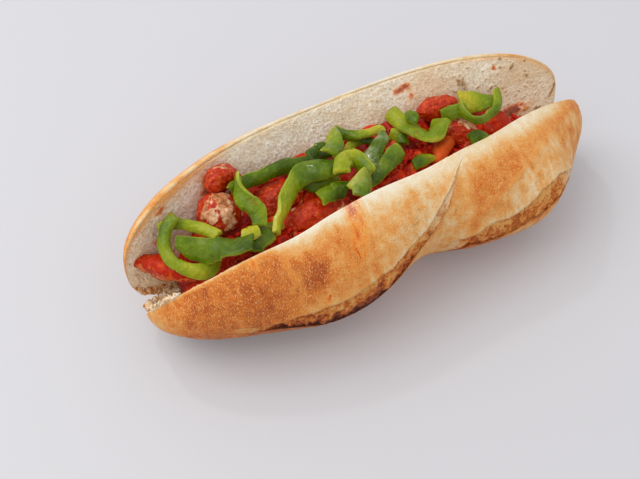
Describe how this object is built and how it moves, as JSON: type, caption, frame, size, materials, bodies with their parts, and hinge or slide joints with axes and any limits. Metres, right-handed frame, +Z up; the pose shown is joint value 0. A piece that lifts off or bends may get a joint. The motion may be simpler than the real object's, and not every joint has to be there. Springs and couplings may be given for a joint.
{
  "type": "submarine sandwich",
  "caption": "Long crusty bread roll, split along one side and lying open on its hinge, filled with sausage chunks, tomato, red sauce and strips of green pepper.",
  "frame": {"origin": "on the floor, under the middle of the whole sandwich's box", "axes": "+X along the roll from its left end to its right end; -Y is the side of the top half, +Y the side of the bottom half; +Z up"},
  "size_m": [0.3026, 0.1309, 0.0822],
  "materials": {
    "baked_crust": "golden baked crust, satin to matte, with pale crumb on the cut faces",
    "bread_crumb": "open porous crumb, fully matte",
    "tomato_sauce": "wet and lumpy",
    "sausage_meat": "coarse cooked meat, damp with sauce",
    "cooked_tomato": "soft, wet and glossy",
    "green_pepper": "cooked pepper skin, glossy, paler at the cut edges"
  },
  "bodies": {
    "root": {"roll": "baked_crust", "sauce": "tomato_sauce", "sausage_1": "sausage_meat", "sausage_2": "sausage_meat", "sausage_3": "sausage_meat", "sausage_4": "sausage_meat", "sausage_5": "sausage_meat", "sausage_6": "sausage_meat", "tomato_1": "cooked_tomato", "tomato_2": "cooked_tomato", "tomato_3": "cooked_tomato", "pepper_01": "green_pepper", "pepper_02": "green_pepper", "pepper_03": "green_pepper", "pepper_04": "green_pepper", "pepper_05": "green_pepper", "pepper_06": "green_pepper", "pepper_07": "green_pepper", "pepper_08": "green_pepper", "pepper_09": "green_pepper", "pepper_10": "green_pepper", "pepper_11": "green_pepper", "pepper_12": "green_pepper", "pepper_13": "green_pepper", "pepper_14": "green_pepper", "pepper_15": "green_pepper", "pepper_16": "green_pepper", "pepper_17": "green_pepper", "pepper_18": "green_pepper", "pepper_19": "green_pepper", "pepper_20": "green_pepper", "pepper_21": "green_pepper", "pepper_22": "green_pepper", "pepper_23": "green_pepper", "pepper_24": "green_pepper", "pepper_25": "green_pepper", "pepper_26": "green_pepper", "pepper_27": "green_pepper"}
  },
  "joints": []
}
